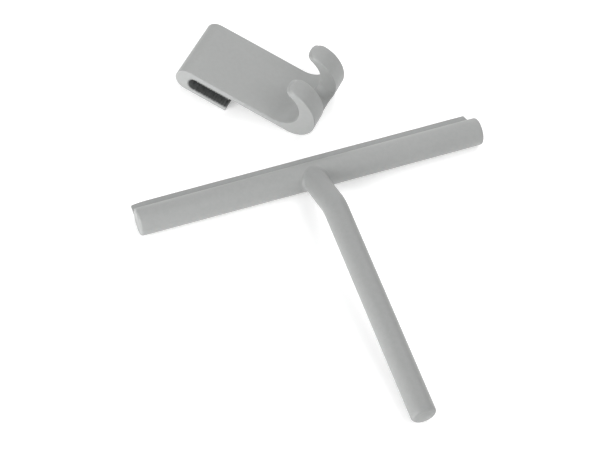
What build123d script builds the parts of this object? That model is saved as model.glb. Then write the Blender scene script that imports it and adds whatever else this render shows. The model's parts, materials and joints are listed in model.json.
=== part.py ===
from build123d import *
import math
import os

# Shower and window squeegee with a round crossbar, a bent handle and a
# slide-in silicone blade, lying beside its two-pronged over-glass hook.
# Units are millimetres, +Z is up, z = 0 is the surface both pieces lie on.
# The hook's slot runs along Y and its plate along X, so the glass slot and
# the cradle line up with the axes; the crossbar lies at BAR_HEADING to X.

# ---------------------------------------------------------------- dimensions
# squeegee, crossbar
BAR_LENGTH = 240.0        # overall length of the crossbar
BAR_D = 18.6              # outside diameter of the silicone cover
BAR_END_ROUND = 2.2       # rounding of the cover's two ends
BAR_CORE_D = 10.0         # steel tube inside the cover
CORE_WALL = 1.5           # wall of both steel tubes
CORE_OFFSET = 1.5         # the tube sits this far from the cover's axis, away from the blade groove
BAR_END_COVER = 4.6       # silicone beyond the tube at each end
PLUG_SPIGOT = 8.0         # plug length inside a tube
PLUG_FLANGE = 1.2         # plug head

# squeegee, handle
HANDLE_D = 16.3           # outside diameter of the silicone cover
NECK_LENGTH = 48.1        # crossbar axis to the bend's corner
HANDLE_LENGTH = 159.4     # bend's corner to the free end
BEND_ANGLE = 29.98        # between neck and handle
BEND_RADIUS = 20.0        # centre line
HANDLE_END_ROUND = 2.5
END_DOME, END_DOME_R = 0.8, 5.5  # height and radius of the low dome on the free end
HANDLE_CORE_D = 10.0
HANDLE_END_COVER = 5.0    # silicone beyond the plug at the free end
WELD_LEG = 1.5

# squeegee, blade and its groove
BLADE_TIP_R = 16.3        # crossbar axis to the blade's edge
LIP_OUT_R = 11.1          # crossbar axis to the face of the groove's lips
LIP_HALF = 1.45           # half of the lips' outside height
GROOVE_Y = 6.4            # crossbar axis to the groove's round bottom
GROOVE_R = 1.85
BEAD_R = 1.70
WEB_HALF = 0.70           # half of the blade's thickness in the mouth
MOUTH_HALF = 0.85
TIP_HALF = 0.45           # half of the blade's thickness at its edge
GROOVE_STOP_X = 116.6     # the groove is blind at this end and open at the other
BLADE_TIP_END_X = 113.7   # the blade's end is cut on a slant
BLADE_ROOT_END_X = 116.4
LIP_END_X = 117.2

# hook, all in its own plane: x along the plate, z out of the plate
HOOK_WIDTH = 50.2
PLATE_T = 4.2
SLOT_H = 10.8             # between plate and flap, without the liner
FLAP_T = 3.2
FLAP_END_X = 40.8
SLOT_END_X = 9.6
SLOT_END_R = 5.2
CRADLE_R = 15.1
CRADLE_X = 73.4
NOSE_R = 16.2
NOSE_X = 85.0
NOSE_Z = NOSE_R - PLATE_T
UPPER_X = 76.0            # where the outer curve of the prongs is highest
TIP_IN_X = 74.0           # where the inner curve ends
TIP_X = 72.8              # how far back the free ends reach
PRONG_TOP_Z = 34.7
PRONG_W = 14.8            # each prong; the notch between them is what is left
NOTCH_FLOOR_Z = 9.2
NOTCH_ROUND = 5.0
TIP_ROUND = 6.0
STRIP_T = 1.0             # spring steel strip
STRIP_EDGE = 2.5          # silicone beyond the strip at each side
STRIP_COVER = 1.1
LINER_T = 0.6
RIB_H = 0.75
RIB_W = 0.9
RIB_PITCH = 2.0
LINER_EDGE = 0.3

# where the two pieces lie
BAR_HEADING = 43.9        # crossbar's direction, from X towards Y
HOOK_X, HOOK_Y = -57.78, 106.46   # hook corner in the crossbar's frame
SET_CX, SET_CY = 13.442, -29.992 # middle of the whole set's footprint

# ------------------------------------------------------------------- helpers


def box(x0, x1, y0, y1, z0, z1):
    return Pos((x0 + x1) / 2, (y0 + y1) / 2, (z0 + z1) / 2) * Box(x1 - x0, y1 - y0, z1 - z0)


def rod(origin, direction, r, length):
    return Solid.make_cylinder(r, length, Plane(origin=origin, z_dir=direction))


def one(shape):
    s = shape.solids()
    return s[0] if len(s) == 1 else Compound(children=list(s))


# ------------------------------------------------------ squeegee resting pose
BR, HR = BAR_D / 2, HANDLE_D / 2


def end_height(drop):
    """height of the free end's lowest point when the handle drops by this angle"""
    return (BR + NECK_LENGTH * math.sin(math.radians(BEND_ANGLE) - drop)
            - (HANDLE_LENGTH - HANDLE_END_ROUND) * math.sin(drop)
            - (HR - HANDLE_END_ROUND) * math.cos(drop) - HANDLE_END_ROUND)


lo, hi = 0.0, 0.4
for _ in range(60):
    mid = (lo + hi) / 2
    lo, hi = (mid, hi) if end_height(mid) > 0 else (lo, mid)
DROP = lo
RISE = math.radians(BEND_ANGLE) - DROP

AXIS = Vector(0, 0, BR)                                   # a point on the crossbar's axis
NECK = Vector(0, -math.cos(RISE), math.sin(RISE))          # up the neck
GRIP = Vector(0, -math.cos(DROP), -math.sin(DROP))         # down the handle
CORNER = AXIS + NECK * NECK_LENGTH
TANGENT = BEND_RADIUS * math.tan(math.radians(BEND_ANGLE) / 2)
CORE_AXIS = AXIS + NECK * CORE_OFFSET


def handle_path(end_gap):
    a = CORNER - NECK * TANGENT
    b = CORNER + GRIP * TANGENT
    first = Edge.make_line(CORE_AXIS, a)
    bend = Edge.make_tangent_arc(a, NECK, b)
    last = Edge.make_line(b, CORNER + GRIP * (HANDLE_LENGTH - end_gap))
    return Wire([first, bend, last])


def along_handle(r, end_gap):
    profile = Plane(origin=CORE_AXIS, z_dir=NECK) * Circle(r)
    return sweep(profile, path=handle_path(end_gap)).solids()[0]


bar_core_outer = rod(CORE_AXIS - Vector(BAR_LENGTH / 2 - BAR_END_COVER - PLUG_FLANGE, 0, 0), Vector(1, 0, 0),
                     BAR_CORE_D / 2, BAR_LENGTH - 2 * (BAR_END_COVER + PLUG_FLANGE))
bar_core_bore = rod(CORE_AXIS - Vector(BAR_LENGTH / 2, 0, 0), Vector(1, 0, 0),
                    BAR_CORE_D / 2 - CORE_WALL, BAR_LENGTH)
crossbar_core = one(bar_core_outer - bar_core_bore)

plugs = []
for side in (-1, 1):
    tube_end = CORE_AXIS + Vector(side * (BAR_LENGTH / 2 - BAR_END_COVER - PLUG_FLANGE), 0, 0)
    out = Vector(side, 0, 0)
    head = rod(tube_end, out, BAR_CORE_D / 2, PLUG_FLANGE)
    spigot = rod(tube_end - out * PLUG_SPIGOT, out, BAR_CORE_D / 2 - CORE_WALL, PLUG_SPIGOT)
    plugs.append((head + spigot).solids()[0])
core_end_plugs = Compound(children=plugs)

# the bent tube is coped onto the crossbar's tube
cope = rod(CORE_AXIS - Vector(40, 0, 0), Vector(1, 0, 0), BAR_CORE_D / 2, 80)
handle_core_gap = HANDLE_END_COVER + PLUG_FLANGE
handle_core = one(along_handle(HANDLE_CORE_D / 2, handle_core_gap)
                  - along_handle(HANDLE_CORE_D / 2 - CORE_WALL, handle_core_gap - 1.0) - cope)

tube_end = CORNER + GRIP * (HANDLE_LENGTH - handle_core_gap)
handle_end_plug = one(rod(tube_end, GRIP, HANDLE_CORE_D / 2, PLUG_FLANGE)
                      + rod(tube_end - GRIP * PLUG_SPIGOT, GRIP, HANDLE_CORE_D / 2 - CORE_WALL, PLUG_SPIGOT))

# fillet weld: the ring that lies inside both tubes grown by the weld leg
weld_a = rod(CORE_AXIS - Vector(9, 0, 0), Vector(1, 0, 0), BAR_CORE_D / 2 + WELD_LEG, 18)
weld_b = rod(CORE_AXIS, NECK, HANDLE_CORE_D / 2 + WELD_LEG, 9)
core_weld = one((weld_a & weld_b) - rod(CORE_AXIS - Vector(40, 0, 0), Vector(1, 0, 0), BAR_CORE_D / 2, 80)
                - rod(CORE_AXIS, NECK, HANDLE_CORE_D / 2, 20))

# ----------------------------------------------------------- crossbar's cover
bar_round = Solid.make_cylinder(BR, BAR_LENGTH, Plane(origin=AXIS - Vector(BAR_LENGTH / 2, 0, 0), z_dir=Vector(1, 0, 0)))
bar_round = bar_round.fillet(BAR_END_ROUND, bar_round.edges().filter_by(GeomType.CIRCLE))

lips = box(-BAR_LENGTH / 2, LIP_END_X, BR - 2.5, LIP_OUT_R, BR - LIP_HALF, BR + LIP_HALF)
lips = fillet(lips.edges().filter_by(Axis.X).group_by(Axis.Y)[-1], 0.45)
groove = (rod(Vector(-BAR_LENGTH / 2 - 1, GROOVE_Y, BR), Vector(1, 0, 0), GROOVE_R, GROOVE_STOP_X + BAR_LENGTH / 2 + 1)
          + box(-BAR_LENGTH / 2 - 1, GROOVE_STOP_X, GROOVE_Y, LIP_OUT_R + 1, BR - MOUTH_HALF, BR + MOUTH_HALF))
core_space = rod(CORE_AXIS - Vector(BAR_LENGTH / 2 - BAR_END_COVER, 0, 0), Vector(1, 0, 0),
                 BAR_CORE_D / 2, BAR_LENGTH - 2 * BAR_END_COVER)
neck_space = rod(CORE_AXIS, NECK, HANDLE_CORE_D / 2, 30)
crossbar_sleeve = one(bar_round + lips - groove - core_space - neck_space - core_weld)

# ------------------------------------------------------------- handle's cover
straight = Solid.make_cylinder(HR, 60, Plane(origin=CORNER + GRIP * (HANDLE_LENGTH - 60), z_dir=GRIP))
far_rim = [e for e in straight.edges().filter_by(GeomType.CIRCLE)
           if (e.arc_center - (CORNER + GRIP * HANDLE_LENGTH)).length < 0.5]
straight = straight.fillet(HANDLE_END_ROUND, far_rim)
grip_outer = along_handle(HR, 60.0) + straight
foot = Solid.make_cone(HR + 0.9, HR, 2.4, Plane(origin=AXIS + NECK * (BR - 0.9), z_dir=NECK))
grip_inner = along_handle(HANDLE_CORE_D / 2, HANDLE_END_COVER)
dome_r = (END_DOME_R ** 2 + END_DOME ** 2) / (2 * END_DOME)      # the free end is slightly domed
dome_stub = rod(CORNER + GRIP * (HANDLE_LENGTH - 1.5), GRIP, END_DOME_R, 4)
end_dome = (Pos(CORNER + GRIP * (HANDLE_LENGTH - dome_r + END_DOME)) * Sphere(dome_r) & dome_stub).solids()[0]
handle_sleeve = one(grip_outer + foot + end_dome
                    - rod(AXIS - Vector(60, 0, 0), Vector(1, 0, 0), BR, 120) - grip_inner - core_weld)

# ---------------------------------------------------------------------- blade
bead = rod(Vector(-BAR_LENGTH / 2, GROOVE_Y, BR), Vector(1, 0, 0), BEAD_R, BLADE_ROOT_END_X + BAR_LENGTH / 2)
web_outline = Polyline((GROOVE_Y, BR - WEB_HALF), (LIP_OUT_R + 0.2, BR - WEB_HALF), (BLADE_TIP_R, BR - TIP_HALF),
                       (BLADE_TIP_R, BR + TIP_HALF), (LIP_OUT_R + 0.2, BR + WEB_HALF), (GROOVE_Y, BR + WEB_HALF),
                       close=True)
web = extrude(Plane(origin=(-BAR_LENGTH / 2, 0, 0), x_dir=(0, 1, 0), z_dir=(1, 0, 0)) * make_face(web_outline),
              BLADE_ROOT_END_X + BAR_LENGTH / 2)
# slanted end: the edge stops short of the root
slant = Plane(origin=(0, 0, BR - 5), x_dir=(1, 0, 0), z_dir=(0, 0, 1)) * make_face(Polyline(
    (BLADE_ROOT_END_X, LIP_OUT_R), (BLADE_ROOT_END_X + 5, LIP_OUT_R), (BLADE_ROOT_END_X + 5, BLADE_TIP_R + 3),
    (BLADE_TIP_END_X - (BLADE_ROOT_END_X - BLADE_TIP_END_X) / (BLADE_TIP_R - LIP_OUT_R) * 3, BLADE_TIP_R + 3), close=True))
wiper_blade = one(bead + web - extrude(slant, 10))

# ----------------------------------------------------------------------- hook
TOTAL_T = PLATE_T + SLOT_H + FLAP_T
UR = TOTAL_T / 2
FC = 1.0   # rounding of the flap's outer corner


def xz(*edges):
    return Plane(origin=(0, 0, 0), x_dir=(1, 0, 0), z_dir=(0, -1, 0)) * make_face(Wire(list(edges)))


def P(x, z):
    return Vector(x, z, 0)


def arc3(a, b, c):
    return Edge.make_three_point_arc(P(*a), P(*b), P(*c))


def seg(a, b):
    return Edge.make_line(P(*a), P(*b))


s45 = math.sqrt(0.5)
upper_ctr, upper_a, upper_b = (UPPER_X, NOSE_Z), NOSE_X + NOSE_R - UPPER_X, PRONG_TOP_Z - NOSE_Z
nose_pts = [P(upper_ctr[0] + upper_a * math.cos(t), upper_ctr[1] + upper_b * math.sin(t))
            for t in [math.pi / 2 * k / 8 for k in range(9)]]
tip_in = (TIP_IN_X, CRADLE_R + math.sqrt(CRADLE_R ** 2 - (TIP_IN_X - CRADLE_X) ** 2))
tip_out = (upper_ctr[0], PRONG_TOP_Z)
tip_mid = (TIP_X, (tip_in[1] + tip_out[1]) / 2 - 0.3)
outline = [
    seg((CRADLE_X, 0), (UR, 0)),
    arc3((UR, 0), (0, -UR), (UR, -TOTAL_T)),
    seg((UR, -TOTAL_T), (FLAP_END_X - FC, -TOTAL_T)),
    arc3((FLAP_END_X - FC, -TOTAL_T), (FLAP_END_X - FC + FC * s45, -TOTAL_T + FC - FC * s45), (FLAP_END_X, -TOTAL_T + FC)),
    seg((FLAP_END_X, -TOTAL_T + FC), (FLAP_END_X, -TOTAL_T + FLAP_T)),
    seg((FLAP_END_X, -TOTAL_T + FLAP_T), (SLOT_END_X + SLOT_END_R, -TOTAL_T + FLAP_T)),
    arc3((SLOT_END_X + SLOT_END_R, -TOTAL_T + FLAP_T),
         (SLOT_END_X + SLOT_END_R - SLOT_END_R * s45, -TOTAL_T + FLAP_T + SLOT_END_R - SLOT_END_R * s45),
         (SLOT_END_X, -TOTAL_T + FLAP_T + SLOT_END_R)),
    seg((SLOT_END_X, -TOTAL_T + FLAP_T + SLOT_END_R), (SLOT_END_X, -PLATE_T - SLOT_END_R)),
    arc3((SLOT_END_X, -PLATE_T - SLOT_END_R),
         (SLOT_END_X + SLOT_END_R - SLOT_END_R * s45, -PLATE_T - SLOT_END_R + SLOT_END_R * s45),
         (SLOT_END_X + SLOT_END_R, -PLATE_T)),
    seg((SLOT_END_X + SLOT_END_R, -PLATE_T), (NOSE_X, -PLATE_T)),
    arc3((NOSE_X, -PLATE_T), (NOSE_X + NOSE_R * s45, NOSE_Z - NOSE_R * s45), (NOSE_X + NOSE_R, NOSE_Z)),
    Edge.make_spline(nose_pts, tangents=[Vector(0, 1, 0), Vector(-1, 0, 0)]),
    arc3(tip_out, tip_mid, tip_in),
    arc3(tip_in, (CRADLE_X + CRADLE_R, CRADLE_R), (CRADLE_X, 0)),
]
hook_block = extrude(xz(*outline), -HOOK_WIDTH).solids()[0]

# strip inside the hook
c = STRIP_COVER
t = STRIP_T
ro, ri = UR - c, UR - c - t
JO, JI = CRADLE_R + c + t, CRADLE_R + c
end_a = math.radians(62)
strip_outline = [
    seg((UR, -c), (CRADLE_X, -c)),
    arc3((CRADLE_X, -c), (CRADLE_X + JI * math.cos(math.radians(-14)), CRADLE_R + JI * math.sin(math.radians(-14))),
         (CRADLE_X + JI * math.cos(end_a), CRADLE_R + JI * math.sin(end_a))),
    seg((CRADLE_X + JI * math.cos(end_a), CRADLE_R + JI * math.sin(end_a)),
        (CRADLE_X + JO * math.cos(end_a), CRADLE_R + JO * math.sin(end_a))),
    arc3((CRADLE_X + JO * math.cos(end_a), CRADLE_R + JO * math.sin(end_a)),
         (CRADLE_X + JO * math.cos(math.radians(-14)), CRADLE_R + JO * math.sin(math.radians(-14))),
         (CRADLE_X, -c - t)),
    seg((CRADLE_X, -c - t), (UR, -c - t)),
    arc3((UR, -c - t), (UR - ri, -UR), (UR, -UR - ri)),
    seg((UR, -UR - ri), (FLAP_END_X - 2.5, -UR - ri)),
    seg((FLAP_END_X - 2.5, -UR - ri), (FLAP_END_X - 2.5, -UR - ro)),
    seg((FLAP_END_X - 2.5, -UR - ro), (UR, -UR - ro)),
    arc3((UR, -UR - ro), (UR - ro, -UR), (UR, -c)),
]
strip = extrude(xz(*strip_outline), -(HOOK_WIDTH - 2 * STRIP_EDGE)).solids()[0]
strip = Pos(0, STRIP_EDGE, 0) * strip
strip_notch = box(CRADLE_X - 5, 130, PRONG_W - STRIP_EDGE, HOOK_WIDTH - PRONG_W + STRIP_EDGE, NOTCH_FLOOR_Z - STRIP_EDGE, 60)
hook_core = one(strip - strip_notch)

notch = box(CRADLE_X - 30, 130, PRONG_W, HOOK_WIDTH - PRONG_W, NOTCH_FLOOR_Z, 60)
notch = fillet(notch.edges().filter_by(Axis.X).group_by(Axis.Z)[0], NOTCH_ROUND)


def tip_cutter(y0, y1):
    """what rounding the prong's free end in plan takes away"""
    blank = box(TIP_X - 3, TIP_X + TIP_ROUND, y0 - 1, y1 + 1, CRADLE_R + 4, 40)
    keep = box(TIP_X, TIP_X + 30, y0, y1, CRADLE_R, 41)
    keep = fillet(keep.edges().filter_by(Axis.Z).group_by(Axis.X)[0], TIP_ROUND)
    return blank - keep


hook_shell = one(hook_block - notch - tip_cutter(0, PRONG_W) - tip_cutter(HOOK_WIDTH - PRONG_W, HOOK_WIDTH) - hook_core)

# ribbed liner, one piece round the inside of the slot
z_top, z_bot = -PLATE_T, -PLATE_T - SLOT_H
L_END = FLAP_END_X - 0.15


def slot_shape(inset):
    r = SLOT_END_R - inset
    x0 = SLOT_END_X + inset
    a, b = z_top - inset, z_bot + inset
    return [
        seg((L_END, b), (x0 + r, b)),
        arc3((x0 + r, b), (x0 + r - r * s45, b + r - r * s45), (x0, b + r)),
        seg((x0, b + r), (x0, a - r)),
        arc3((x0, a - r), (x0 + r - r * s45, a - r + r * s45), (x0 + r, a)),
        seg((x0 + r, a), (L_END, a)),
        seg((L_END, a), (L_END, b)),
    ]


liner_len = HOOK_WIDTH - 2 * LINER_EDGE
liner = (extrude(xz(*slot_shape(0.0)), -liner_len).solids()[0] - extrude(xz(*slot_shape(LINER_T)), -liner_len).solids()[0])
ribs = []
x = SLOT_END_X + SLOT_END_R + 0.85
while x + RIB_W < L_END:
    ribs.append(box(x, x + RIB_W, 0, liner_len, z_top - LINER_T - RIB_H, z_top - LINER_T + 0.1))
    ribs.append(box(x, x + RIB_W, 0, liner_len, z_bot + LINER_T - 0.1, z_bot + LINER_T + RIB_H))
    x += RIB_PITCH
for rib in ribs:
    liner = liner + rib
grip_liner = one(Pos(0, LINER_EDGE, 0) * liner)

# the hook rests on the flap's free corner and on the nose
lo, hi = 0.05, 0.6
for _ in range(60):
    mid = (lo + hi) / 2
    flap_z = -(FLAP_END_X - FC) * math.sin(mid) - (TOTAL_T - FC) * math.cos(mid) - FC
    nose_z = -NOSE_X * math.sin(mid) + NOSE_Z * math.cos(mid) - NOSE_R
    lo, hi = (mid, hi) if flap_z < nose_z else (lo, mid)
TILT = lo
LIFT = -(-NOSE_X * math.sin(TILT) + NOSE_Z * math.cos(TILT) - NOSE_R)

# ------------------------------------------------------------- lay out the set
ch, sh = math.cos(math.radians(BAR_HEADING)), math.sin(math.radians(BAR_HEADING))
hook_x, hook_y = HOOK_X * ch - HOOK_Y * sh, HOOK_X * sh + HOOK_Y * ch
place_bar = Location((-SET_CX, -SET_CY, 0)) * Location((0, 0, 0), (0, 0, BAR_HEADING))
place_hook = Location((hook_x - SET_CX, hook_y - SET_CY, LIFT)) * Location((0, 0, 0), (0, math.degrees(TILT), 0))

nodes = {}
for name, shape in (("crossbar_core", crossbar_core), ("core_end_plugs", core_end_plugs), ("handle_core", handle_core),
                    ("core_weld", core_weld), ("handle_end_plug", handle_end_plug),
                    ("crossbar_sleeve", crossbar_sleeve), ("handle_sleeve", handle_sleeve), ("wiper_blade", wiper_blade)):
    nodes[name] = shape.moved(place_bar)
for name, shape in (("hook_core", hook_core), ("hook_shell", hook_shell), ("grip_liner", grip_liner)):
    nodes[name] = shape.moved(place_hook)

for name, shape in nodes.items():
    export_step(shape, f"parts/{name}.step")

bb = Compound(children=[s for s in nodes.values()]).bounding_box()
print("set box", [round(v, 3) for v in (*bb.min, *bb.max)], "centre", round((bb.min.X + bb.max.X) / 2, 3),
      round((bb.min.Y + bb.max.Y) / 2, 3))
print("drop", round(math.degrees(DROP), 3), "rise", round(math.degrees(RISE), 3), "tilt", round(math.degrees(TILT), 3),
      "lift", round(LIFT, 3), "hook at", round(hook_x - SET_CX, 3), round(hook_y - SET_CY, 3))
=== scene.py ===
"""Squeegee with its over-glass hook: the looks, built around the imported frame. Lengths below are in
millimetres in each piece's own axes, and are scaled to metres when the mesh is made."""
import json
import math

import bmesh
import bpy
from mathutils import Matrix, Vector


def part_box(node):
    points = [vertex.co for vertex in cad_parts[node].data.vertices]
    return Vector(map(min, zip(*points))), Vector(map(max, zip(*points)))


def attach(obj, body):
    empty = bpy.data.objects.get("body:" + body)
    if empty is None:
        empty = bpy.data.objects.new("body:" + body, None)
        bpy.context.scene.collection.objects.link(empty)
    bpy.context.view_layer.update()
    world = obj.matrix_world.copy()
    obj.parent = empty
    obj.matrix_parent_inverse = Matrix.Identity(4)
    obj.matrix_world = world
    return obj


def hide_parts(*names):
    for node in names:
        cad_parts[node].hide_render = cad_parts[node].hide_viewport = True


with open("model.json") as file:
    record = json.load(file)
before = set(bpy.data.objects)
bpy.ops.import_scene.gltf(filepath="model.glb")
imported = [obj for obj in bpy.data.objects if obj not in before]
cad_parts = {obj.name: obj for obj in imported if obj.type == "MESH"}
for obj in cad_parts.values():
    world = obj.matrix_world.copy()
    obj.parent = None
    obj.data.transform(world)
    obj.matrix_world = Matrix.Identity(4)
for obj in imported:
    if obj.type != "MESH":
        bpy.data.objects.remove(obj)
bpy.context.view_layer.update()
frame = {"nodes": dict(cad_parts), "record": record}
MM = 0.001

# ------------------------------------------------------------------ the frame's own places
joints = {j["name"]: j for j in frame["record"]["behaviour"]["joints"]}
out_dir = Vector(joints["blade_slide"]["axis"])
HEADING = math.atan2(-out_dir.y, -out_dir.x)          # the crossbar's direction

BR, HR = 9.3, 8.15                                      # crossbar's and handle's radii
NECK_LENGTH, HANDLE_LENGTH = 48.1, 159.4
BEND = math.radians(29.98)
BEND_R = 20.0
HALF = 120.0
END_ROUND = 1.9
HANDLE_ROUND = 2.5
DOME, DOME_R = 0.8, 5.5                                # low dome on the handle's free end


def end_height(drop):
    return (BR + NECK_LENGTH * math.sin(BEND - drop) - (HANDLE_LENGTH - HANDLE_ROUND) * math.sin(drop)
            - (HR - HANDLE_ROUND) * math.cos(drop) - HANDLE_ROUND)


lo, hi = 0.0, 0.4
for _ in range(60):
    mid = (lo + hi) / 2
    lo, hi = (mid, hi) if end_height(mid) > 0 else (lo, mid)
DROP, RISE = lo, BEND - lo
NECK = Vector((0, -math.cos(RISE), math.sin(RISE)))
GRIP = Vector((0, -math.cos(DROP), -math.sin(DROP)))
X = Vector((1, 0, 0))

core_lo, core_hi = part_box("crossbar_core")
turn = Matrix.Rotation(HEADING, 4, "Z")
bar_axis = (core_lo + core_hi) / 2 / MM - (turn @ NECK) * 1.5
BAR_M = Matrix.Translation((bar_axis.x, bar_axis.y, 0)) @ turn

# hook, in its own plane: x along the plate, z out of it
W = 50.2
PLATE, SLOT, FLAP = 4.2, 10.8, 3.2
SLOT_R = 5.2
TOTAL = PLATE + SLOT + FLAP
UR = TOTAL / 2
FLAP_END, SLOT_END = 40.8, 9.6
CRADLE_X, CRADLE_R = 73.4, 15.1
NOSE_X, NOSE_R = 85.0, 16.2
NOSE_Z = NOSE_R - PLATE
UPPER_X, TOP_Z, TIP_IN = 76.0, 34.7, 74.7
PRONG, NOTCH_Z = 14.8, 9.2

lo, hi = 0.05, 0.6                                      # it rests on the flap's free corner and on the nose
for _ in range(60):
    mid = (lo + hi) / 2
    flap_z = -(FLAP_END - 1) * math.sin(mid) - (TOTAL - 1) * math.cos(mid) - 1
    nose_z = -NOSE_X * math.sin(mid) + NOSE_Z * math.cos(mid) - NOSE_R
    lo, hi = (mid, hi) if flap_z < nose_z else (lo, mid)
TILT = lo
hook_lo, hook_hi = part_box("hook_shell")
HOOK_M = Matrix.Translation((hook_lo.x / MM - UR * (math.cos(TILT) - math.sin(TILT) - 1), hook_lo.y / MM,
                             NOSE_X * math.sin(TILT) - NOSE_Z * math.cos(TILT) + NOSE_R)) @ Matrix.Rotation(TILT, 4, "Y")

# ------------------------------------------------------------------ materials


def nodes_of(name):
    m = bpy.data.materials.new(name)
    m.use_nodes = True
    nt = m.node_tree
    bsdf = nt.nodes["Principled BSDF"]
    coord = nt.nodes.new("ShaderNodeTexCoord")
    return m, nt, bsdf, coord.outputs["Object"]


def noise(nt, vec, scale, detail=3.0, rough=0.5, stretch=None):
    if stretch is not None:
        mp = nt.nodes.new("ShaderNodeMapping")
        mp.inputs["Scale"].default_value = stretch
        nt.links.new(vec, mp.inputs["Vector"])
        vec = mp.outputs["Vector"]
    n = nt.nodes.new("ShaderNodeTexNoise")
    n.inputs["Scale"].default_value = scale
    n.inputs["Detail"].default_value = detail
    n.inputs["Roughness"].default_value = rough
    nt.links.new(vec, n.inputs["Vector"])
    return n.outputs["Fac"]


def ramp(nt, fac, stops):
    r = nt.nodes.new("ShaderNodeValToRGB")
    r.color_ramp.interpolation = "EASE"
    while len(r.color_ramp.elements) < len(stops):
        r.color_ramp.elements.new(0.5)
    for e, (p, c) in zip(r.color_ramp.elements, stops):
        e.position = p
        e.color = (*c, 1.0) if len(c) == 3 else c
    nt.links.new(fac, r.inputs["Fac"])
    return r.outputs["Color"]


def mix(nt, fac, a, b, blend="MIX", amount=None):
    m = nt.nodes.new("ShaderNodeMix")
    m.data_type = "RGBA"
    m.blend_type = blend
    if amount is None:
        nt.links.new(fac, m.inputs["Factor"])
    else:
        m.inputs["Factor"].default_value = amount
    for s, v in (("A", a), ("B", b)):
        sock = [i for i in m.inputs if i.name == s and i.type == "RGBA"][0]
        if isinstance(v, tuple):
            sock.default_value = (*v, 1.0)
        else:
            nt.links.new(v, sock)
    return [o for o in m.outputs if o.type == "RGBA"][0]


def remap(nt, fac, a, b):
    m = nt.nodes.new("ShaderNodeMapRange")
    m.inputs["From Min"].default_value = 0.3
    m.inputs["From Max"].default_value = 0.7
    m.inputs["To Min"].default_value = a
    m.inputs["To Max"].default_value = b
    nt.links.new(fac, m.inputs["Value"])
    return m.outputs["Result"]


def bump(nt, bsdf, layers):
    last = None
    for height, dist, strength in layers:
        b = nt.nodes.new("ShaderNodeBump")
        b.inputs["Strength"].default_value = strength
        b.inputs["Distance"].default_value = dist
        nt.links.new(height, b.inputs["Height"])
        if last is not None:
            nt.links.new(last, b.inputs["Normal"])
        last = b.outputs["Normal"]
    nt.links.new(last, bsdf.inputs["Normal"])


def silicone(name, tint, sheen=0.10, rough=(0.44, 0.54), grain=0.30):
    """moulded silicone: even colour with a faint cloudiness, a fine eroded grain, a few specks of dust,
    and a painted highlight that makes the sharp edges paler"""
    m, nt, bsdf, obj = nodes_of(name)
    broad = noise(nt, obj, 14.0, 2.0, 0.5)
    mottle = noise(nt, obj, 330.0, 4.0, 0.6)
    fine = noise(nt, obj, 2600.0, 2.0, 0.5)
    dark = tuple(c * 0.975 for c in tint)
    light = tuple(min(1.0, c * 1.025) for c in tint)
    base = ramp(nt, broad, ((0.30, dark), (0.70, light)))
    cloud = ramp(nt, mottle, ((0.35, (0.485, 0.488, 0.485)), (0.65, (0.515, 0.513, 0.515))))
    base = mix(nt, None, base, cloud, "OVERLAY", 0.7)
    geo = nt.nodes.new("ShaderNodeNewGeometry")
    # painted highlight: sharp edges (high pointiness) are screened paler, standing in for the light caught on their
    # rounding
    edge = ramp(nt, geo.outputs["Pointiness"], ((0.50, (0.0, 0.0, 0.0)), (0.60, (0.16, 0.16, 0.16))))
    base = mix(nt, None, base, edge, "SCREEN", 0.55)
    specks = ramp(nt, noise(nt, obj, 1700.0, 1.0, 0.4), ((0.72, (0.0, 0.0, 0.0)), (0.82, (0.35, 0.35, 0.34))))
    base = mix(nt, None, base, specks, "SCREEN", 0.22)
    nt.links.new(base, bsdf.inputs["Base Color"])
    nt.links.new(remap(nt, mottle, *rough), bsdf.inputs["Roughness"])
    bsdf.inputs["Specular IOR Level"].default_value = 0.42
    bsdf.inputs["Sheen Weight"].default_value = sheen
    bsdf.inputs["Sheen Roughness"].default_value = 0.45
    bsdf.inputs["Subsurface Weight"].default_value = 0.10
    bsdf.inputs["Subsurface Radius"].default_value = (1.0, 0.95, 0.9)
    bsdf.inputs["Subsurface Scale"].default_value = 0.0010
    bump(nt, bsdf, ((fine, 0.00005, grain), (mottle, 0.00008, 0.22), (broad, 0.0005, 0.10)))
    return m


def liner_rubber(name):
    m, nt, bsdf, obj = nodes_of(name)
    mottle = noise(nt, obj, 420.0, 4.0, 0.6)
    base = ramp(nt, mottle, ((0.3, (0.125, 0.130, 0.129)), (0.7, (0.185, 0.191, 0.190))))
    nt.links.new(base, bsdf.inputs["Base Color"])
    nt.links.new(remap(nt, mottle, 0.55, 0.72), bsdf.inputs["Roughness"])
    bsdf.inputs["Specular IOR Level"].default_value = 0.4
    bump(nt, bsdf, ((noise(nt, obj, 3000.0, 2.0), 0.00006, 0.4), (mottle, 0.0001, 0.3)))
    return m


def steel(name, tint, direction):
    m, nt, bsdf, obj = nodes_of(name)
    lines = noise(nt, obj, 260.0, 4.0, 0.65, stretch=direction)
    base = ramp(nt, lines, ((0.3, tuple(c * 0.8 for c in tint)), (0.7, tint)))
    nt.links.new(base, bsdf.inputs["Base Color"])
    bsdf.inputs["Metallic"].default_value = 1.0
    nt.links.new(remap(nt, lines, 0.26, 0.42), bsdf.inputs["Roughness"])
    bump(nt, bsdf, ((lines, 0.00004, 0.4),))
    return m


def plug_plastic(name):
    m, nt, bsdf, obj = nodes_of(name)
    n = noise(nt, obj, 700.0, 3.0)
    nt.links.new(ramp(nt, n, ((0.3, (0.018, 0.018, 0.019)), (0.7, (0.030, 0.030, 0.031)))), bsdf.inputs["Base Color"])
    nt.links.new(remap(nt, n, 0.4, 0.55), bsdf.inputs["Roughness"])
    bump(nt, bsdf, ((n, 0.00005, 0.3),))
    return m


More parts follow.
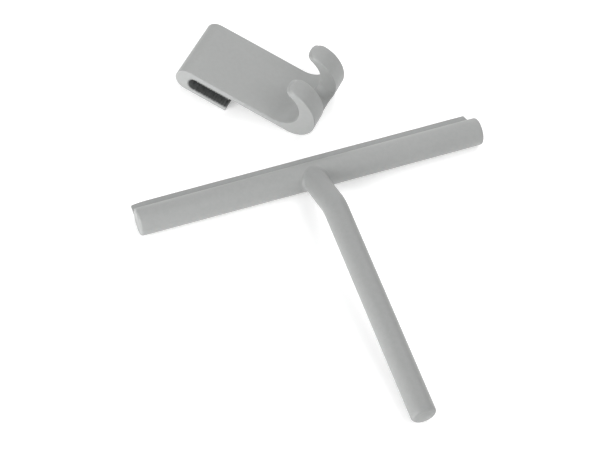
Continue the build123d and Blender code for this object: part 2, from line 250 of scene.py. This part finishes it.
GREY = (0.318, 0.324, 0.320)
MAT = {
    "hook": silicone("hook_silicone", GREY),
    # bar and grip are darkened copies of the hook's grey, not a different silicone: painted shade for light falling
    # off towards them
    "bar": silicone("bar_silicone_painted_shade", tuple(c * 0.968 for c in GREY)),
    "grip": silicone("grip_silicone_painted_shade", tuple(c * 0.885 for c in GREY)),
    "blade": silicone("blade_silicone", (0.288, 0.294, 0.290), sheen=0.05, rough=(0.36, 0.46), grain=0.2),
    "liner": liner_rubber("liner_rubber"),
    "tube": steel("drawn_steel", (0.55, 0.55, 0.56), (1.0, 0.08, 0.08)),
    "strip": steel("spring_steel", (0.50, 0.50, 0.52), (0.08, 1.0, 1.0)),
    "plug": plug_plastic("plug_plastic"),
}
for node, mat in (("crossbar_core", "tube"), ("handle_core", "tube"), ("core_weld", "tube"), ("hook_core", "strip"),
                  ("core_end_plugs", "plug"), ("handle_end_plug", "plug"), ("grip_liner", "liner")):
    o = frame["nodes"][node]
    if not o.material_slots:
        o.data.materials.append(MAT[mat])
    for s in o.material_slots:
        s.link = "OBJECT"
        s.material = MAT[mat]

# ------------------------------------------------------------------ mesh helpers


def build(name, verts, faces, place, mat, body, node=None, sharp=38.0, weighted=True):
    me = bpy.data.meshes.new(name)
    me.from_pydata([tuple((place @ Vector(v)) * MM) for v in verts], [], faces)
    bm = bmesh.new()
    bm.from_mesh(me)
    bmesh.ops.remove_doubles(bm, verts=bm.verts, dist=1e-6)
    bmesh.ops.dissolve_degenerate(bm, edges=bm.edges, dist=1e-7)
    loose = [v for v in bm.verts if not v.link_faces]
    bmesh.ops.delete(bm, geom=loose, context="VERTS")
    bmesh.ops.recalc_face_normals(bm, faces=bm.faces)
    # a closed shell inside the piece is a hollow, so it faces the other way
    shells, seen = [], set()
    for f0 in bm.faces:
        if f0 in seen:
            continue
        seen.add(f0)
        shell, todo = [], [f0]
        while todo:
            g = todo.pop()
            shell.append(g)
            for e in g.edges:
                for h in e.link_faces:
                    if h not in seen:
                        seen.add(h)
                        todo.append(h)
        shells.append(shell)

    def reach(shell):
        pts = [v.co for g in shell for v in g.verts]
        return sum(max(p[i] for p in pts) - min(p[i] for p in pts) for i in range(3))

    shells.sort(key=reach, reverse=True)
    for shell in shells[1:]:
        bmesh.ops.reverse_faces(bm, faces=shell)
    open_edges = sum(1 for e in bm.edges if len(e.link_faces) != 2)
    bm.to_mesh(me)
    bm.free()
    me.polygons.foreach_set("use_smooth", [True] * len(me.polygons))
    me.set_sharp_from_angle(angle=math.radians(sharp))
    me.materials.append(mat)
    ob = bpy.data.objects.new(name, me)
    bpy.context.scene.collection.objects.link(ob)
    if weighted:
        wn = ob.modifiers.new("even_normals", "WEIGHTED_NORMAL")
        wn.keep_sharp = True
        wn.weight = 60
    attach(ob, body)
    if node:
        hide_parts(node)
    print("piece", name, "faces", len(me.polygons), "edges not shared by two faces", open_edges)
    return ob


def loft(rings, close_start=True, close_end=True, base=0):
    """faces between closed rings of equal length"""
    n = len(rings[0])
    verts = [p for r in rings for p in r]
    faces = []
    for k in range(len(rings) - 1):
        a, b = base + k * n, base + (k + 1) * n
        for i in range(n):
            j = (i + 1) % n
            faces.append((a + i, a + j, b + j, b + i))
    if close_start:
        faces.append(tuple(base + i for i in reversed(range(n))))
    if close_end:
        o = base + (len(rings) - 1) * n
        faces.append(tuple(o + i for i in range(n)))
    return verts, faces


def ease(t):
    t = max(0.0, min(1.0, t))
    return t * t * (3 - 2 * t)


# ------------------------------------------------------------------ crossbar's cover
LIP_H, LIP_OUT, MOUTH, GROOVE_Y, GROOVE_R = 1.45, 11.1, 0.85, 6.4, 1.85


def cover_section(R, y_out):
    """outline of the cover at one station: round, with two lips and the open groove between them"""
    rf = 0.65
    cy = math.sqrt((R + rf) ** 2 - (LIP_H + rf) ** 2)
    t_ang = math.atan2(LIP_H + rf, cy)
    pts = []
    n = 132
    for k in range(n + 1):                                        # the round part, top side to under side
        a = t_ang + (2 * math.pi - 2 * t_ang) * k / n
        pts.append((R * math.cos(a), R * math.sin(a)))
    lower = []
    a0 = math.pi + t_ang                                          # fillet between the round part and a lip
    for k in range(1, 5):
        a = a0 + (1.5 * math.pi - a0) * k / 4
        lower.append((cy + rf * math.cos(a), (LIP_H + rf) + rf * math.sin(a)))
    rc = 0.32
    for k in range(5):                                            # lip's outer corner
        a = math.pi / 2 - math.pi / 2 * k / 4
        lower.append((y_out - rc + rc * math.cos(a), LIP_H - rc + rc * math.sin(a)))
    rm = 0.12
    for k in range(3):                                            # mouth's corner
        a = -math.pi / 2 * k / 2
        lower.append((y_out - rm + rm * math.cos(a), MOUTH + rm + rm * math.sin(a)))
    g = math.sqrt(GROOVE_R ** 2 - MOUTH ** 2)
    for k in range(1, 3):
        lower.append((y_out - rm + (GROOVE_Y + g - y_out + rm) * k / 3, MOUTH))
    g0 = math.atan2(MOUTH, g)
    m = 14
    ring = [(GROOVE_Y + GROOVE_R * math.cos(g0 + (2 * math.pi - 2 * g0) * k / m),
             GROOVE_R * math.sin(g0 + (2 * math.pi - 2 * g0) * k / m)) for k in range(m + 1)]
    under = [(y, -z) for y, z in lower]
    return pts + under + list(reversed(ring)) + list(reversed(lower))


def crossbar_cover():
    verts, faces = [], []
    rings = []

    def radius(x):
        d = HALF - abs(x)
        if d >= END_ROUND:
            return BR
        return BR - END_ROUND + math.sqrt(max(0.0, END_ROUND ** 2 - (END_ROUND - d) ** 2))

    xs = [-HALF + END_ROUND * (1 - math.cos(math.pi / 2 * k / 9)) for k in range(10)]
    xs += [-HALF + END_ROUND + (116.55 + HALF - END_ROUND) * k / 60 for k in range(1, 61)]
    for x in xs:
        d = x + HALF
        y_out = LIP_OUT - (0.35 - math.sqrt(max(0.0, 0.35 ** 2 - (0.35 - min(d, 0.35)) ** 2)))
        rings.append([(x, y, z + BR) for y, z in cover_section(radius(x), y_out)])
    # past the groove's blind end the channel closes and the lips sink into the round bar
    tail = [116.6 + 0.25 * k for k in range(10)] + [119.0 + 0.0 * k for k in range(0)]
    tail += [HALF - END_ROUND + END_ROUND * math.sin(math.pi / 2 * k / 9) for k in range(3, 10)]
    for x in sorted(tail):
        R = radius(x)
        sec = cover_section(BR, LIP_OUT)
        s = ease((x - 116.6) / 1.5)
        out = []
        for k, (y, z) in enumerate(sec):
            if k > 132:                                            # lips and channel
                if abs(z) < MOUTH + 0.13 or y < 9.0:
                    y = LIP_OUT - 0.02
                    z = max(-MOUTH, min(MOUTH, z))
            ang = math.atan2(z, y)
            if k > 132:
                span = math.atan2(LIP_H + 0.65, math.sqrt((BR + 0.65) ** 2 - (LIP_H + 0.65) ** 2))
                ang = -span + 2 * span * (k - 132) / (len(sec) - 132)
            out.append((x, y * (1 - s) + R * math.cos(ang) * s, z * (1 - s) + R * math.sin(ang) * s + BR))
        rings.append(out)
    v, f = loft(rings)
    verts += v
    faces += f
    # the space that the steel tube and its plugs fill
    off = NECK * 1.5
    inner = []
    for x in (-HALF + 4.6, -HALF + 5.2, 0.0, HALF - 5.2, HALF - 4.6):
        inner.append([(x, off.y + 5.02 * math.cos(a), BR + off.z + 5.02 * math.sin(a))
                      for a in [-2 * math.pi * k / 40 for k in range(40)]])
    v2, f2 = loft(inner, base=len(verts))
    verts += v2
    faces += f2
    return verts, faces


v, f = crossbar_cover()
build("crossbar_cover", v, f, BAR_M, MAT["bar"], "squeegee", "crossbar_sleeve", sharp=50, weighted=False)

# ------------------------------------------------------------------ blade


def blade():
    def section(d_left, d_right):
        """half outline from the bead round to the edge; d_* are distances from the two ends, and are not used"""
        top = []
        bead_r = 1.70
        g = math.sqrt(bead_r ** 2 - 0.70 ** 2)
        a0 = math.atan2(0.70, g)
        for k in range(13):
            a = math.pi - (math.pi - a0) * k / 12
            top.append((6.4 + bead_r * math.cos(a), bead_r * math.sin(a)))
        for k in range(1, 5):
            top.append((6.4 + g + (11.2 - 6.4 - g) * k / 4, 0.70))
        tip = 15.9
        for k in range(1, 9):
            t = k / 8
            top.append((11.2 + (tip - 0.12 - 11.2) * t, 0.70 + (0.44 - 0.70) * t ** 0.85))
        top.append((tip - 0.03, 0.36))
        top.append((tip, 0.22))
        return top

    xs = [-HALF + 0.25 * k for k in range(9)] + [-HALF + 2.5 + (113.0 + HALF - 2.5) * k / 90 for k in range(91)]
    xs += [113.0 + (116.4 - 113.0) * k / 6 for k in range(1, 7)]
    rings = []
    for x in xs:
        dl = x + HALF
        half = section(dl, 0)
        full = half + [(y, -z) for y, z in reversed(half[1:])]
        ring = []
        for y, z in full:
            yy = y
            if y > 11.0:
                corner = 0.9 - math.sqrt(max(0.0, 0.9 ** 2 - (0.9 - min(dl, 0.9)) ** 2))
                droop = 1.0 * (1 - min(dl, 9.0) / 9.0) ** 1.6
                yy = 11.0 + (y - 11.0) * (1 - (corner + droop) / 4.9)
            xx = x
            # the slanted end: the edge stops short of the root
            if x > 112.9:
                t = (x - 113.0) / 3.4
                end = 116.2 - max(0.0, (yy - 11.1)) / 4.8 * 1.3
                xx = 113.0 - 2.7 * 0 + t * (end - 113.0)
            wave = 0.05 * math.sin(x * 0.071) * max(0.0, (y - 11.0) / 5.3) + 0.03 * math.sin(x * 0.19 + 1.0) * max(0.0, (y - 11.0) / 5.3)
            ring.append((xx, yy, z + wave + BR))
        rings.append(ring)
    return loft(rings)


v, f = blade()
build("blade_lip", v, f, BAR_M, MAT["blade"], "blade", "wiper_blade", sharp=45, weighted=False)

# ------------------------------------------------------------------ handle's cover


def handle_cover():
    axis0 = Vector((0, 0, BR))
    side = X.cross(NECK)                         # across the neck, in the plane of the bend
    n = 96
    angs = [2 * math.pi * k / n for k in range(n)]
    outer = []

    def foot_ring(theta, sink=0.0):
        ring = []
        for a in angs:
            rf = 2.4 * math.cos(a) ** 2 + 0.75 * math.sin(a) ** 2
            rho = HR + rf * (1 - math.sin(theta))
            across = rho * math.sin(a)
            t = math.sqrt(max(0.01, BR ** 2 - across ** 2)) + rf * (1 - math.cos(theta)) - sink
            ring.append(tuple(axis0 + NECK * t + X * (rho * math.cos(a)) + side * across))
        return ring

    outer.append(foot_ring(0.0, 0.25))
    for k in range(9):
        outer.append(foot_ring(math.pi / 2 * k / 8))
    t0 = BR + 2.4

    tangent = BEND_R * math.tan(BEND / 2)
    corner = axis0 + NECK * NECK_LENGTH
    a_pt = corner - NECK * tangent
    b_pt = corner + GRIP * tangent

    def ring_at(c, d, r):
        s = X.cross(d)
        return [tuple(c + X * (r * math.cos(a)) + s * (r * math.sin(a))) for a in angs]

    for k in range(1, 13):                       # neck
        t = t0 + 0.4 + (NECK_LENGTH - tangent - t0 - 0.4) * k / 12
        f = 1 - k / 12
        base = ring_at(axis0 + NECK * t, NECK, HR)
        outer.append(base)
    centre = a_pt + (GRIP - NECK * GRIP.dot(NECK)).normalized() * BEND_R
    for k in range(1, 17):                       # bend
        ang = BEND * k / 16
        d = (NECK * math.cos(ang) + (GRIP - NECK * GRIP.dot(NECK)).normalized() * math.sin(ang)).normalized()
        inward = (GRIP - NECK * GRIP.dot(NECK)).normalized() * math.cos(ang) - NECK * math.sin(ang)
        outer.append(ring_at(centre - inward * BEND_R, d, HR))
    length = HANDLE_LENGTH - tangent
    for k in range(1, 41):                       # straight part
        outer.append(ring_at(b_pt + GRIP * ((length - HANDLE_ROUND) * k / 40), GRIP, HR))
    for k in range(1, 11):                       # rounded rim of the free end
        a = math.pi / 2 * k / 10
        outer.append(ring_at(b_pt + GRIP * (length - HANDLE_ROUND + HANDLE_ROUND * math.sin(a)), GRIP,
                             DOME_R + 0.15 + (HR - DOME_R - 0.15) * math.cos(a)))
    ball = (DOME_R ** 2 + DOME ** 2) / (2 * DOME)
    for k in range(0, 9):                        # the end is slightly domed
        r = DOME_R * math.cos(math.pi / 2 * k / 9)
        rise = math.sqrt(ball ** 2 - r * r) - (ball - DOME)
        outer.append(ring_at(b_pt + GRIP * (length + rise), GRIP, r))
    verts, faces = loft(outer, close_start=False, close_end=True)
    # inside wall, round the steel tube
    inner = [ring_at(axis0 + NECK * 7.5, NECK, 5.02)]
    for k in range(1, 5):
        inner.append(ring_at(axis0 + NECK * (7.5 + (NECK_LENGTH - tangent - 7.5) * k / 4), NECK, 5.02))
    for k in range(1, 9):
        ang = BEND * k / 8
        inward = (GRIP - NECK * GRIP.dot(NECK)).normalized() * math.cos(ang) - NECK * math.sin(ang)
        d = (NECK * math.cos(ang) + (GRIP - NECK * GRIP.dot(NECK)).normalized() * math.sin(ang)).normalized()
        inner.append(ring_at(centre - inward * BEND_R, d, 5.02))
    for k in range(1, 5):
        inner.append(ring_at(b_pt + GRIP * ((length - 5.0) * k / 4), GRIP, 5.02))
    base = len(verts)
    v2, f2 = loft(inner, close_start=False, close_end=True, base=base)
    verts += v2
    faces += f2
    for i in range(n):                           # foot, between the two walls
        j = (i + 1) % n
        faces.append((i, base + i, base + j, j))
    return verts, faces


v, f = handle_cover()
build("handle_cover", v, f, BAR_M, MAT["grip"], "squeegee", "handle_sleeve", sharp=50, weighted=False)

# ------------------------------------------------------------------ hook


def arc(c, r, a0, a1, n, rz=None):
    rz = r if rz is None else rz
    return [(c[0] + r * math.cos(a0 + (a1 - a0) * k / n), c[1] + rz * math.sin(a0 + (a1 - a0) * k / n)) for k in range(n + 1)]


def line(a, b, n):
    return [(a[0] + (b[0] - a[0]) * k / n, a[1] + (b[1] - a[1]) * k / n) for k in range(n + 1)]


RIM, TIP_RIM = 0.60, 1.8                      # rounding of the edges, and of the prongs' free ends


def hook_rails():
    """side A runs flap outside, round the fold, plate top, cradle; side B runs slot and plate underside, nose"""
    pi = math.pi
    nf, nu, npl, nj = 12, 34, 26, 90
    A = line((FLAP_END - RIM, -TOTAL), (UR, -TOTAL), nf)
    A += arc((UR, -UR), UR, -pi / 2, -1.5 * pi, nu)[1:]
    A += line((UR, 0), (CRADLE_X, 0), npl)[1:]
    A += arc((CRADLE_X, CRADLE_R), CRADLE_R, -pi / 2, math.acos((TIP_IN - CRADLE_X) / CRADLE_R), nj)[1:]
    B = line((FLAP_END - RIM, FLAP - TOTAL), (SLOT_END + SLOT_R, FLAP - TOTAL), nf)
    q = nu // 2
    B += arc((SLOT_END + SLOT_R, FLAP - TOTAL + SLOT_R), SLOT_R, -pi / 2, -pi, q)[1:]
    B += arc((SLOT_END + SLOT_R, -PLATE - SLOT_R), SLOT_R, -pi, -1.5 * pi, nu - q)[1:]
    B += line((SLOT_END + SLOT_R, -PLATE), (NOSE_X, -PLATE), npl)[1:]
    h = nj // 2
    B += arc((NOSE_X, NOSE_Z), NOSE_R, -pi / 2, 0, h)[1:]
    B += arc((UPPER_X, NOSE_Z), NOSE_X + NOSE_R - UPPER_X, 0, pi / 2 - 0.02, nj - h, rz=TOP_Z - NOSE_Z)[1:]
    return A, B, nf + nu + npl, nj


def tangents(P):
    out = []
    for k in range(len(P)):
        a, b = P[max(0, k - 1)], P[min(len(P) - 1, k + 1)]
        dx, dz = b[0] - a[0], b[1] - a[1]
        m = math.hypot(dx, dz) or 1.0
        out.append((dx / m, dz / m))
    return out


def hook_body():
    A, B, j_first, nj = hook_rails()
    K = len(A)
    tA, tB = tangents(A), tangents(B)
    # distance from each station to the prong's tip, along the middle of the band
    mid = [((a[0] + b[0]) / 2, (a[1] + b[1]) / 2) for a, b in zip(A, B)]
    to_tip = [0.0] * K
    for k in range(K - 2, -1, -1):
        to_tip[k] = to_tip[k + 1] + math.hypot(mid[k + 1][0] - mid[k][0], mid[k + 1][1] - mid[k][1])
    i_n = min(range(j_first, K), key=lambda k: abs(0.5 * (A[k][1] + B[k][1]) - NOTCH_Z + 1.2))
    FLARE, TONGUE = 5.5, 3.7
    c1, c2, c3 = 22, 18, 22                       # columns: near prong, notch, far prong
    j1, j2, ny = c1, c1 + c2, c1 + c2 + c3
    rim = [RIM + (TIP_RIM - RIM) * ease(1 - to_tip[i] / 11.0) for i in range(K)]

    def prong_span(i):
        """near prong's two sides at station i, in y from the near face"""
        left, right = rim[i], PRONG - rim[i]
        s_up = to_tip[i_n] - to_tip[i]
        if s_up < FLARE:
            right += FLARE - math.sqrt(max(0.0, FLARE ** 2 - (FLARE - s_up) ** 2))
        t = to_tip[i]
        if t < TONGUE:
            cut = TONGUE - math.sqrt(max(0.0, TONGUE ** 2 - (TONGUE - t) ** 2))
            left, right = left + cut, right - cut
        return left, right

    def col_y(i, j):
        if i <= i_n:
            yl, yr = rim[i], PRONG - RIM + FLARE
            if j <= j1:
                return yl + (yr - yl) * j / c1
            if j >= j2:
                return W - yl - (yr - yl) * (ny - j) / c3
            return yr + (W - 2 * yr) * (j - j1) / c2
        yl, yr = prong_span(i)
        if j <= j1:
            return yl + (yr - yl) * j / c1
        return W - (yl + (yr - yl) * (ny - j) / c3)

    verts, index = [], {}

    def put(p):
        verts.append(p)
        return len(verts) - 1

    def has(i, j):
        return 0 <= i < K and 0 <= j <= ny and (i <= i_n or j <= j1 or j >= j2)

    for i in range(K):
        for j in range(ny + 1):
            if has(i, j):
                y = col_y(i, j)
                index["A", i, j] = put((A[i][0], y, A[i][1]))
                index["B", i, j] = put((B[i][0], y, B[i][1]))
    faces = []
    for i in range(K - 1):
        for j in range(ny):
            if i + 1 > i_n and not (j + 1 <= j1 or j >= j2):
                continue
            for s in ("A", "B"):
                q = (index[s, i, j], index[s, i + 1, j], index[s, i + 1, j + 1], index[s, i, j + 1])
                faces.append(q if s == "A" else q[::-1])
    # the rim, all the way round
    loop = [(i, 0) for i in range(0, K)]
    loop += [(K - 1, j) for j in range(1, j1 + 1)]
    loop += [(i, j1) for i in range(K - 2, i_n - 1, -1)]
    loop += [(i_n, j) for j in range(j1 + 1, j2 + 1)]
    loop += [(i, j2) for i in range(i_n + 1, K)]
    loop += [(K - 1, j) for j in range(j2 + 1, ny + 1)]
    loop += [(i, ny) for i in range(K - 2, -1, -1)]
    loop += [(0, j) for j in range(ny - 1, 0, -1)]
    m = len(loop)

    def out_dir_at(side, k):
        """direction out of the band's edge, in the surface"""
        i, j = loop[k]
        p0 = Vector(verts[index[(side,) + loop[(k - 1) % m]]])
        p1 = Vector(verts[index[(side,) + loop[k]]])
        p2 = Vector(verts[index[(side,) + loop[(k + 1) % m]]])
        tx, tz = (tA if side == "A" else tB)[i]
        nrm = Vector((-tz, 0, tx)) if side == "A" else Vector((tz, 0, -tx))
        outs = []
        for d in (p1 - p0, p2 - p1):
            if d.length > 1e-6:
                o = d.normalized().cross(nrm)
                o = o if side == "A" else -o
                outs.append(o.normalized())
        return nrm, outs

    columns = []
    for k in range(m):
        nA, oA = out_dir_at("A", k)
        nB, oB = out_dir_at("B", k)
        r = rim[loop[k][0]]
        turn_a = oA[0].angle(oA[-1]) if len(oA) > 1 else 0.0
        steps = 4 if turn_a > 0.6 else 0
        for q in range(steps + 1):
            w = 0.5 if steps == 0 else q / steps
            dA = (oA[0].lerp(oA[-1], w)).normalized()
            dB = (oB[0].lerp(oB[-1], w)).normalized()
            pa = Vector(verts[index[("A",) + loop[k]]])
            pb = Vector(verts[index[("B",) + loop[k]]])
            col = [index[("A",) + loop[k]]]
            arcs = 5
            for s in range(1, arcs + 1):
                ph = math.pi / 2 * s / arcs
                col.append(put(tuple(pa + dA * (r * math.sin(ph)) - nA * (r * (1 - math.cos(ph))))))
            for s in range(arcs, 0, -1):
                ph = math.pi / 2 * s / arcs
                col.append(put(tuple(pb + dB * (r * math.sin(ph)) - nB * (r * (1 - math.cos(ph))))))
            col.append(index[("B",) + loop[k]])
            columns.append(col)
    for k in range(len(columns)):
        c, d = columns[k], columns[(k + 1) % len(columns)]
        for s in range(len(c) - 1):
            q = [d[s], c[s], c[s + 1], d[s + 1]]
            q = [x for n_, x in enumerate(q) if x not in q[:n_]]
            if len(q) > 2:
                faces.append(tuple(q))
    return verts, faces


v, f = hook_body()
strip = frame["nodes"]["hook_core"]              # the space that the spring strip fills
back, base = HOOK_M.inverted(), len(v)
v += [tuple(back @ ((strip.matrix_world @ q.co) / MM)) for q in strip.data.vertices]
f += [tuple(base + k for k in g.vertices) for g in strip.data.polygons]
build("hook_body", v, f, HOOK_M, MAT["hook"], "hook", "hook_shell", sharp=60)

# ------------------------------------------------------------------ floor, light, camera
fm = bpy.data.materials.new("pale_floor")
fm.use_nodes = True
fb = fm.node_tree.nodes["Principled BSDF"]
fb.inputs["Base Color"].default_value = (0.90, 0.90, 0.90, 1)
fb.inputs["Roughness"].default_value = 0.75
fb.inputs["Specular IOR Level"].default_value = 0.2
fb.inputs["Emission Color"].default_value = (1.0, 1.0, 1.0, 1)
fb.inputs["Emission Strength"].default_value = 0.30
me = bpy.data.meshes.new("floor")
S = 6.0
me.from_pydata([(-S, -S, -0.0002), (S, -S, -0.0002), (S, S, -0.0002), (-S, S, -0.0002)], [], [(0, 1, 2, 3)])
me.materials.append(fm)
floor = bpy.data.objects.new("floor", me)
bpy.context.scene.collection.objects.link(floor)

world = bpy.data.worlds.new("studio")
bpy.context.scene.world = world
world.use_nodes = True
bg = world.node_tree.nodes["Background"]
bg.inputs["Color"].default_value = (1.0, 1.0, 1.0, 1)
bg.inputs["Strength"].default_value = 0.06

cam_pos = BAR_M @ Vector((-303.75, -835.11, 1034.33)) * MM
look = (turn @ Vector((0.2126, 0.6002, -0.7711))).normalized()
right = (turn @ Vector((0.9426, -0.3339, 0.0))).normalized()


def softbox(name, toward, dist, size, power, size_y=None):
    """an area light that shines on the middle of the set from a direction given in the camera's floor axes"""
    data = bpy.data.lights.new(name, "AREA")
    data.shape = "RECTANGLE"
    data.size, data.size_y = size, size_y or size
    data.energy = power
    ob = bpy.data.objects.new(name, data)
    bpy.context.scene.collection.objects.link(ob)
    ahead = Vector((look.x, look.y, 0)).normalized()
    d = (right * toward[0] + ahead * toward[1] + Vector((0, 0, 1)) * toward[2]).normalized()
    ob.location = d * dist
    ob.rotation_mode = "QUATERNION"
    ob.rotation_quaternion = (-d).to_track_quat("-Z", "Y")
    return ob


for label, bearing, rise, dist, size, power in (("key", 225, 22, 1.8, 1.5, 21.6), ("key_near", 210, 20, 0.75, 0.55, 3.16),
                                                ("fill_low", 315, 22, 1.8, 1.5, 4.9), ("fill_high", 315, 52, 1.8, 1.5, 11.8),
                                                ("back_low", 90, 22, 1.8, 1.5, 12.3), ("back_high", 45, 52, 1.8, 1.5, 18.6)):
    b, e = math.radians(bearing), math.radians(rise)     # bearing 0 is to the camera's right, 90 straight ahead
    softbox(label, (math.cos(b) * math.cos(e), math.sin(b) * math.cos(e), math.sin(e)), dist, size, power)

cam_data = bpy.data.cameras.new("camera")
cam_data.sensor_width = 36.0
cam_data.lens = 2051.49 / 600 * 36.0
cam_data.clip_start, cam_data.clip_end = 0.05, 20.0
cam = bpy.data.objects.new("camera", cam_data)
bpy.context.scene.collection.objects.link(cam)
cam.location = cam_pos
up = right.cross(look).normalized()
m3 = Matrix((right, up, -look)).transposed()
cam.rotation_mode = "QUATERNION"
cam.rotation_quaternion = m3.to_quaternion()
bpy.context.scene.camera = cam
bpy.context.scene.view_settings.view_transform = "Standard"
